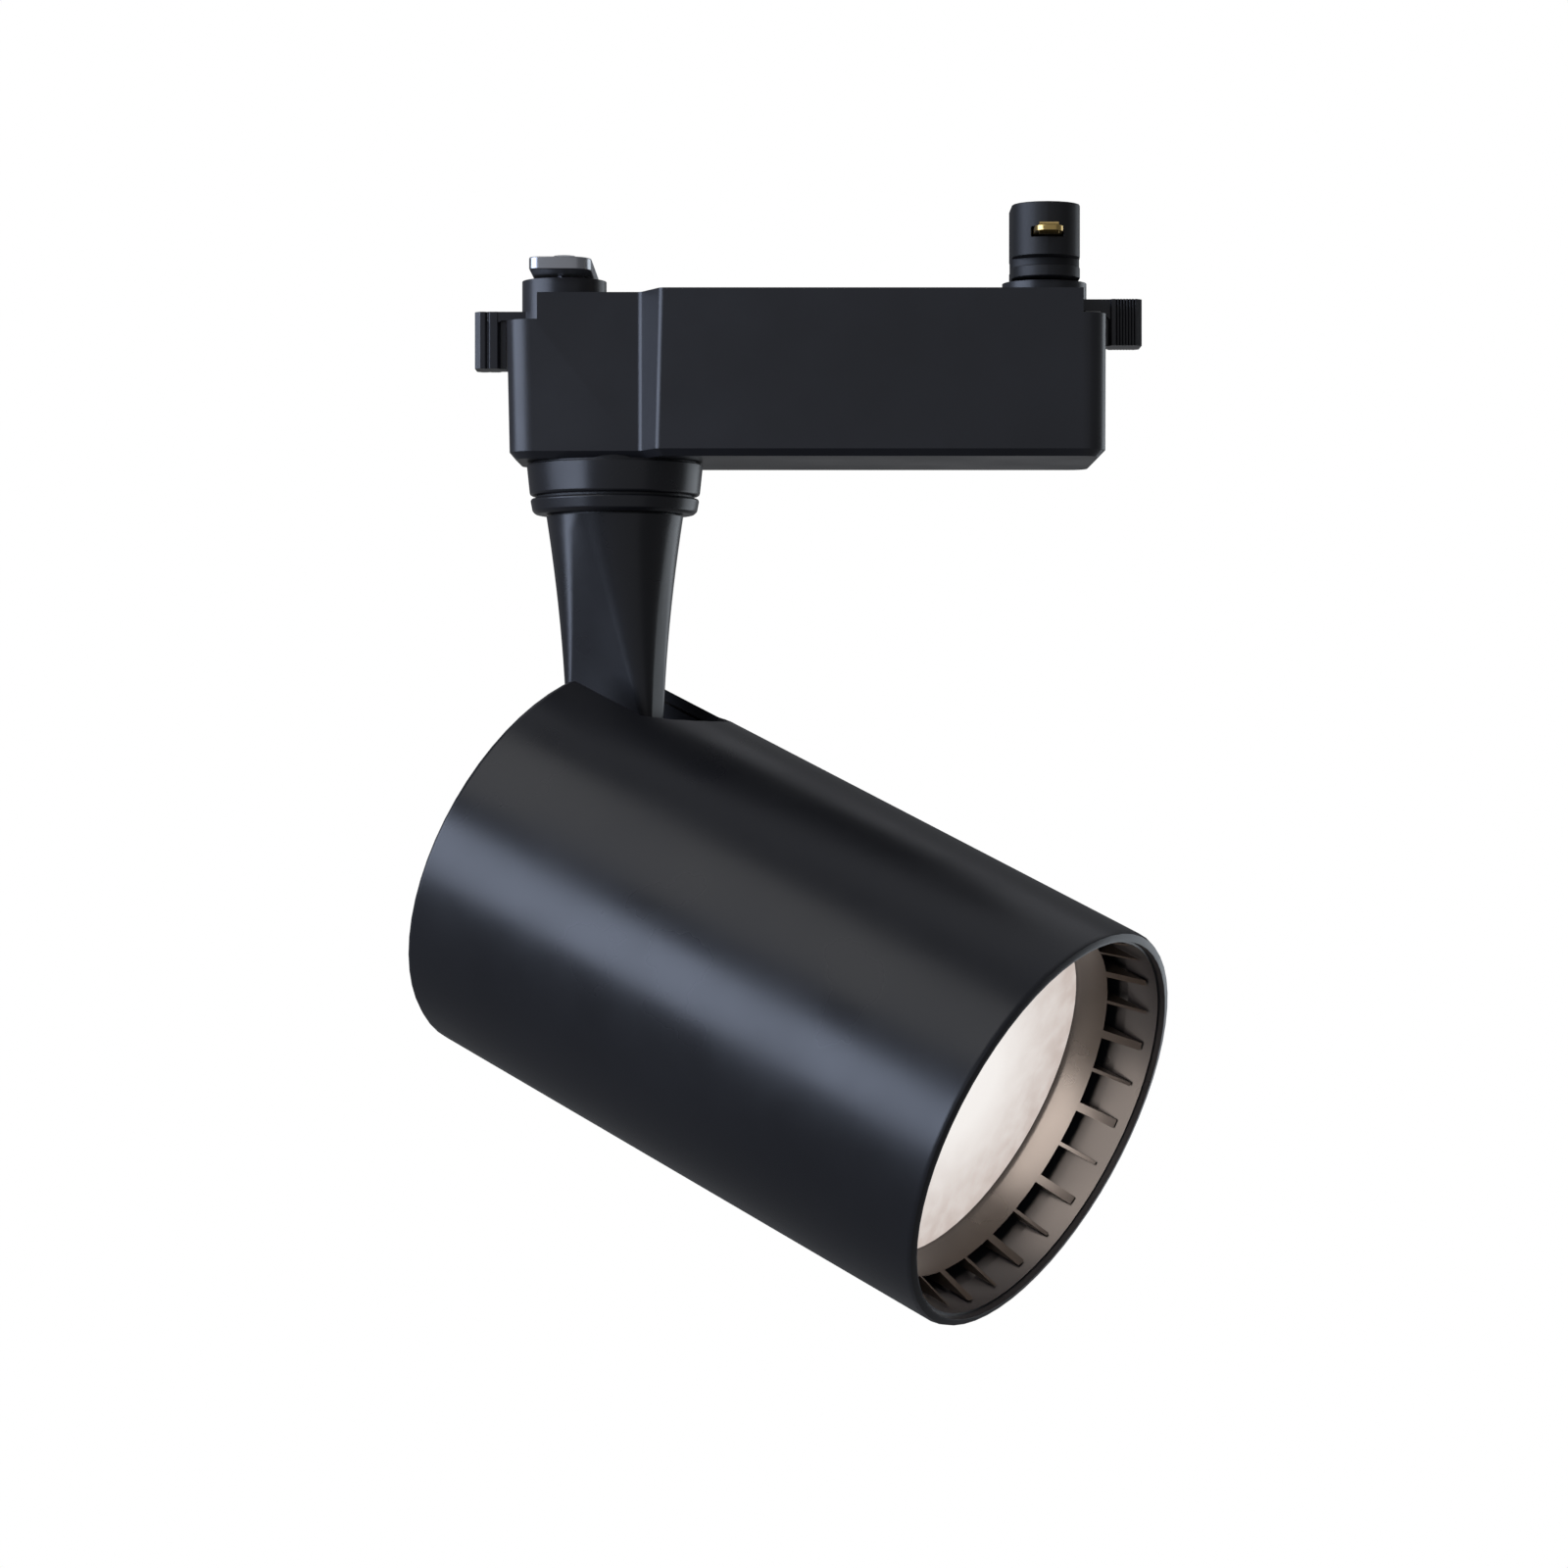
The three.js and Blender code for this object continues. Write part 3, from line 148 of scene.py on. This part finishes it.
def surface(name, colour, roughness, metallic=0.0, vary=0.12, rough_vary=0.05,
            grain=2500, bump=0.02, cloud=60, stretch=None, specular=0.5):
    """A finish with cloudy colour and gloss, and a fine grain in its bump."""
    made = bpy.data.materials.new(name)
    made.use_nodes = True
    tree = made.node_tree
    shader = tree.nodes["Principled BSDF"]
    shader.inputs["Metallic"].default_value = metallic
    shader.inputs["Specular IOR Level"].default_value = specular
    coordinates = tree.nodes.new("ShaderNodeTexCoord").outputs["Object"]
    clouds = noise(tree, coordinates, cloud, 4, stretch)
    fine = noise(tree, coordinates, grain, 2, stretch)
    mix = tree.nodes.new("ShaderNodeMix")
    mix.data_type = "RGBA"
    mix.inputs["A"].default_value = grown(colour, 1 - vary)
    mix.inputs["B"].default_value = grown(colour, 1 + vary)
    tree.links.new(spread(tree, clouds, 0, 1), mix.inputs["Factor"])
    tree.links.new(mix.outputs["Result"], shader.inputs["Base Color"])
    gloss = spread(tree, clouds, roughness - rough_vary, roughness + rough_vary)
    tree.links.new(gloss, shader.inputs["Roughness"])
    relief = tree.nodes.new("ShaderNodeBump")
    relief.inputs["Strength"].default_value = bump
    relief.inputs["Distance"].default_value = 0.1 * MM
    tree.links.new(fine, relief.inputs["Height"])
    tree.links.new(relief.outputs["Normal"], shader.inputs["Normal"])
    return made


def centre_of(node):
    low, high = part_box(node)
    return (Vector(low) + Vector(high)) / 2


LENS_CENTRE = centre_of("lens")


def opal():
    """A lit diffuser: brightest in the middle, with faint warm clouds towards its edge."""
    made = surface("opal_lens", (0.30, 0.27, 0.25), 0.35, vary=0.05, grain=900, bump=0.05)
    tree = made.node_tree
    shader = tree.nodes["Principled BSDF"]
    coordinates = tree.nodes.new("ShaderNodeTexCoord").outputs["Object"]
    away = tree.nodes.new("ShaderNodeVectorMath")
    away.operation = "DISTANCE"
    tree.links.new(coordinates, away.inputs[0])
    away.inputs[1].default_value = LENS_CENTRE
    falloff = tree.nodes.new("ShaderNodeMapRange")
    falloff.inputs["From Min"].default_value = BRIGHT_SHARE * LENS_RADIUS
    falloff.inputs["From Max"].default_value = LENS_RADIUS
    tree.links.new(away.outputs["Value"], falloff.inputs["Value"])
    clouds = spread(tree, noise(tree, coordinates, 320, 4), 0.75, 1.25)
    edge = tree.nodes.new("ShaderNodeMath")
    edge.operation = "MULTIPLY"
    edge.use_clamp = True
    tree.links.new(falloff.outputs["Result"], edge.inputs[0])
    tree.links.new(clouds, edge.inputs[1])
    mix = tree.nodes.new("ShaderNodeMix")
    mix.data_type = "RGBA"
    mix.inputs["A"].default_value = LENS_MIDDLE
    mix.inputs["B"].default_value = LENS_EDGE
    tree.links.new(edge.outputs["Value"], mix.inputs["Factor"])
    tree.links.new(mix.outputs["Result"], shader.inputs["Emission Color"])
    shader.inputs["Emission Strength"].default_value = LENS_STRENGTH
    return made


# One finish for each material slot of the record.
FINISHES = {
    "black_plastic": surface("moulded_black", (0.026, 0.0262, 0.0295), 0.33, grain=3500, bump=0.05),
    "black_paint": surface("black_coating", (0.016, 0.0162, 0.0185), 0.3, vary=0.06, grain=1800, bump=0.02),
    # The ring's warm brown tint is painted light: the lens's warm glow on a black ring.
    "ring_coating": surface("ring_coating", (0.02, 0.016, 0.013), 0.3, vary=0.06, bump=0.03, specular=0.9),
    "dark_nylon": surface("dark_nylon", (0.012, 0.012, 0.013), 0.5, grain=3500, bump=0.1),
    "white_nylon": surface("white_nylon", (0.68, 0.66, 0.60), 0.45, vary=0.04),
    "steel": surface("zinc_steel", (0.52, 0.53, 0.55), 0.28, 1.0, vary=0.08, grain=5000, bump=0.05),
    "black_steel": surface("black_steel", (0.03, 0.03, 0.032), 0.35, 0.9, grain=5000, bump=0.05),
    "contact_brass": surface("contact_brass", (0.72, 0.50, 0.18), 0.25, 1.0, vary=0.1),
    "copper_winding": surface("copper_winding", (0.62, 0.26, 0.11), 0.35, 1.0, stretch=(1, 1, 12)),
    "bare_aluminium": surface("bare_aluminium", (0.62, 0.63, 0.64), 0.4, 1.0, stretch=(1, 8, 8)),
    "reflector_finish": surface("reflector_finish", (0.86, 0.87, 0.88), 0.12, 1.0, vary=0.03),
    "circuit_board": surface("circuit_board", (0.02, 0.13, 0.05), 0.35, vary=0.35, cloud=500),
    "white_board": surface("white_board", (0.80, 0.79, 0.76), 0.4, vary=0.05),
    "ferrite": surface("ferrite", (0.045, 0.043, 0.041), 0.7, vary=0.3, bump=0.2),
    "winding_tape": surface("winding_tape", (0.66, 0.42, 0.05), 0.4, stretch=(1, 1, 20)),
    "capacitor_sleeve": surface("capacitor_sleeve", (0.03, 0.035, 0.07), 0.3),
    "phosphor": surface("phosphor", (0.80, 0.56, 0.08), 0.6, vary=0.06),
    "opal": opal(),
    "lead_sleeve": surface("lead_sleeve", (0.72, 0.70, 0.65), 0.45, vary=0.05),
}


# ---------------------------------------------------------------------------
# Finish and shading of the CAD nodes
# ---------------------------------------------------------------------------
def set_finish(node, finish):
    """Gives a CAD node its finish, and smooth shading in place of its facets' own normals."""
    for place in node.material_slots:
        place.material = finish
    for name in ("custom_normal", "sharp_edge", "sharp_face"):
        if name in node.data.attributes:
            node.data.attributes.remove(node.data.attributes[name])
    node.data.shade_smooth()


def round_edges(node):
    """Rounds a node's hard edges slightly."""
    weld = node.modifiers.new("weld", "WELD")
    weld.merge_threshold = SAME_PLACE
    flats = node.modifiers.new("flats", "DECIMATE")
    flats.decimate_type = "DISSOLVE"
    flats.angle_limit = FLAT_ANGLE
    bevel = node.modifiers.new("edges", "BEVEL")
    bevel.width = EDGE_ROUND
    bevel.segments = 2
    bevel.limit_method = "ANGLE"
    bevel.angle_limit = SMOOTH_ANGLE
    bevel.harden_normals = True
    bevel.miter_outer = "MITER_ARC"


def shade(node, true_normal):
    """Shades a faceted node as the shape it stands for: true_normal(normal, centre, corner) gives a corner's
    normal from its face's normal and centre, and faces that meet at a soft edge share their mean."""
    mesh = node.data
    corners = []
    meeting = {}
    for face in mesh.polygons:
        for loop, vertex in zip(face.loop_indices, face.vertices):
            place = mesh.vertices[vertex].co
            normal = true_normal(face.normal, face.center, place)
            spot = tuple(round(x / SAME_PLACE) for x in place)
            corners.append((loop, spot, normal))
            meeting.setdefault(spot, []).append((normal, face.area))
    soft = math.cos(SMOOTH_ANGLE)
    normals = [None] * len(corners)
    for loop, spot, normal in corners:
        shared = [area * other for other, area in meeting[spot] if other.dot(normal) > soft]
        normals[loop] = sum(shared, Vector()).normalized()
    mesh.normals_split_custom_set(normals)


def middle_of(node, to_local):
    """The middle of a node's box in the axes that to_local takes the world's to."""
    places = [to_local @ vertex.co for vertex in node.data.vertices]
    return Vector([(min(p[i] for p in places) + max(p[i] for p in places)) / 2 for i in range(3)])


def shade_turned(node, turn):
    """For a node turned about an axis, which turn takes +X to."""
    to_local = turn.to_matrix().transposed()
    middle = middle_of(node, to_local)

    def outward(place):
        offset = to_local @ place - middle
        return Vector((0, offset[1], offset[2])).normalized()

    def true_normal(normal, centre, corner):
        local = to_local @ normal
        across = local.dot(outward(centre))
        if local[0] ** 2 + across ** 2 < TURNED_SHARE:
            return normal
        return to_local.transposed() @ (Vector((local[0], 0, 0)) + across * outward(corner)).normalized()

    shade(node, true_normal)


def shade_stem(node):
    """The stem's flats slope, and the slope fades as they turn into its rear edge."""
    to_local = STEM_TURN.to_matrix().transposed()

    def true_normal(normal, centre, corner):
        local = to_local @ normal
        local[2] *= max(0, 1 - max(0, -local[0]) / STEM_UPRIGHT)
        return (to_local.transposed() @ local).normalized()

    shade(node, true_normal)


def finish_nodes():
    for row in frame["record"]["subparts"]:
        name = row["node"]
        set_finish(nodes[name], FINISHES[row["material_slot"]])
        if name in TURNED:
            shade_turned(nodes[name], HEAD_TURN)
        elif name == "stem":
            shade_stem(nodes[name])
        else:
            round_edges(nodes[name])


# ---------------------------------------------------------------------------
# Shade washers: thin dark rings that paint the shade in the gaps of the pan joint
# ---------------------------------------------------------------------------
def shade_washer(name, body, inner, outer, below, above):
    """A dark washer about the pan axis that paints the shade in the gap between two heights."""
    centre = centre_of("pan_ring")
    low, high = below + SHADE_WASHER_SLACK, above - SHADE_WASHER_SLACK
    profile = [(inner, low), (outer, low), (outer, high), (inner, high)]
    count = len(profile)
    places = []
    for i in range(SHADE_WASHER_FACETS):
        angle = math.tau * i / SHADE_WASHER_FACETS
        for radius, height in profile:
            places.append((centre.x + radius * math.cos(angle), centre.y + radius * math.sin(angle), height))
    faces = []
    for i in range(SHADE_WASHER_FACETS):
        here = i * count
        beyond = (i + 1) % SHADE_WASHER_FACETS * count
        for j in range(count):
            k = (j + 1) % count
            faces.append((here + j, beyond + j, beyond + k, here + k))
    mesh = bpy.data.meshes.new(name)
    mesh.from_pydata(places, [], faces)
    # Its dark colour is painted shade in the joint's gap.
    mesh.materials.append(FINISHES["dark_nylon"])
    piece = bpy.data.objects.new(name, mesh)
    bpy.context.scene.collection.objects.link(piece)
    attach(piece, body)


def make_shade_washers():
    # Painted shade: one dark washer in each of the three gaps of the pan joint.
    casing_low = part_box("adapter_housing")[0][2]
    collar_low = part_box("pan_collar")[0][2]
    ring_low, ring_high = (corner[2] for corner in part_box("pan_ring"))
    stem_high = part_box("stem")[1][2]
    shade_washer("casing_shade_washer", "adapter", SPIGOT_CLEAR, CASING_SHADE_RADIUS, casing_low - CAD_GAP, casing_low)
    shade_washer("collar_shade_washer", "stem", SPINDLE_CLEAR, COLLAR_SHADE_RADIUS, ring_high, collar_low)
    shade_washer("stem_shade_washer", "stem", SPINDLE_CLEAR, STEM_SHADE_RADIUS, stem_high, ring_low)


# ---------------------------------------------------------------------------
# Stage, light and camera
# ---------------------------------------------------------------------------
def make_floor():
    """A pale round floor that neither lights the lamp nor shows in it."""
    angles = [math.tau * i / FLOOR_SIDES for i in range(FLOOR_SIDES)]
    outline = [(FLOOR_RADIUS * math.cos(angle), FLOOR_RADIUS * math.sin(angle), 0) for angle in angles]
    mesh = bpy.data.meshes.new("floor")
    mesh.from_pydata(outline, [], [range(FLOOR_SIDES)])
    floor = bpy.data.objects.new("floor", mesh)
    floor.location.z = -FLOOR_DROP
    paper = surface("floor_paper", (0.8, 0.8, 0.8), 0.9, vary=0.01, cloud=3)
    shader = paper.node_tree.nodes["Principled BSDF"]
    shader.inputs["Emission Color"].default_value = (0.97, 0.98, 1, 1)
    shader.inputs["Emission Strength"].default_value = FLOOR_GLOW
    floor.data.materials.append(paper)
    floor.visible_glossy = False
    floor.visible_diffuse = False
    bpy.context.scene.collection.objects.link(floor)


def make_world():
    """White behind the lamp, and dim for everything but the camera, as in a black studio."""
    world = bpy.data.worlds.new("studio")
    world.use_nodes = True
    tree = world.node_tree
    seen = tree.nodes["Background"]
    seen.inputs["Color"].default_value = BACKDROP
    dim = tree.nodes.new("ShaderNodeBackground")
    dim.inputs["Color"].default_value = DIM_SURROUND
    dim.inputs["Strength"].default_value = DIM_STRENGTH
    path = tree.nodes.new("ShaderNodeLightPath")
    mix = tree.nodes.new("ShaderNodeMixShader")
    tree.links.new(path.outputs["Is Camera Ray"], mix.inputs["Fac"])
    tree.links.new(dim.outputs["Background"], mix.inputs[1])
    tree.links.new(seen.outputs["Background"], mix.inputs[2])
    tree.links.new(mix.outputs["Shader"], tree.nodes["World Output"].inputs["Surface"])
    bpy.context.scene.world = world


def direction(azimuth, elevation):
    """Azimuth 0 is towards -Y, the camera's side, and 90 towards +X."""
    a = math.radians(azimuth)
    e = math.radians(elevation)
    return Vector((math.sin(a) * math.cos(e), -math.cos(a) * math.cos(e), math.sin(e)))


def soft_light(name, azimuth, elevation, distance, width, height, power, colour, roll=0):
    """A rectangle of light that faces the lamp, unseen by the camera. Angles are in degrees."""
    lamp = bpy.data.lights.new(name, "AREA")
    lamp.shape = "RECTANGLE"
    lamp.size, lamp.size_y = width, height
    lamp.energy = power
    lamp.color = colour
    light = bpy.data.objects.new(name, lamp)
    middle = (cad_box[0] + cad_box[1]) / 2
    towards = direction(azimuth, elevation)
    light.location = middle + towards * distance
    turn = towards.to_track_quat("Z", "Y") @ Quaternion((0, 0, 1), math.radians(roll))
    light.rotation_euler = turn.to_euler()
    light.visible_camera = False
    bpy.context.scene.collection.objects.link(light)


def make_studio_lights():
    soft_light("key", -66, 7, 1.2, width=1.35, height=0.56, power=10, colour=BLUE, roll=-14)
    soft_light("sky", -48, 50, 1.2, width=0.9, height=0.8, power=2.2, colour=WHITE)
    soft_light("front", 10, 0, 1.5, width=2, height=1.5, power=1.4, colour=COOL)
    soft_light("top", 170, 65, 1.3, width=1.4, height=1.4, power=1.8, colour=COOL)
    soft_light("rim", 131, -5, 1.2, width=0.75, height=0.9, power=2.6, colour=COOLER)
    soft_light("back", 178, -7, 1.4, width=1.8, height=0.4, power=0.16, colour=WHITE)


def in_mouth(name, lamp, glow):
    """Puts a light in the head's mouth, ahead of the lens and facing out."""
    lamp.energy = glow["power"]
    lamp.color = GLOW_COLOUR
    light = bpy.data.objects.new(name, lamp)
    beam = HEAD_TURN.to_matrix() @ Vector((1, 0, 0))
    light.location = LENS_CENTRE + beam * glow["ahead"]
    light.rotation_euler = beam.to_track_quat("-Z", "Y").to_euler()
    light.visible_camera = False
    bpy.context.scene.collection.objects.link(light)
    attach(light, "head")
    return light


def make_wall_glow():
    """Stands for the light that the lens throws on the wall of the mouth."""
    lamp = bpy.data.lights.new("wall_glow", "AREA")
    lamp.shape = "DISK"
    lamp.size = 2 * WALL_GLOW["radius"]
    in_mouth("wall_glow", lamp, WALL_GLOW)


def make_ring_glow():
    """Stands for the light that the lens throws on the ring's face, and lights nothing else."""
    lamp = bpy.data.lights.new("ring_glow", "POINT")
    lamp.shadow_soft_size = RING_GLOW["radius"]
    light = in_mouth("ring_glow", lamp, RING_GLOW)
    lit = bpy.data.collections.new("lit_by_ring_glow")
    lit.objects.link(nodes["lens_ring"])
    light.light_linking.receiver_collection = lit


def make_camera():
    data = bpy.data.cameras.new("camera")
    data.lens = CAMERA_LENS
    data.sensor_width = CAMERA_SENSOR
    camera = bpy.data.objects.new("camera", data)
    camera.location = CAMERA_PLACE
    camera.rotation_euler = (math.pi / 2, 0, 0)
    bpy.context.scene.collection.objects.link(camera)
    bpy.context.scene.camera = camera


finish_nodes()
make_shade_washers()
make_floor()
make_world()
make_studio_lights()
make_wall_glow()
make_ring_glow()
make_camera()
bpy.context.scene.view_settings.view_transform = "Standard"
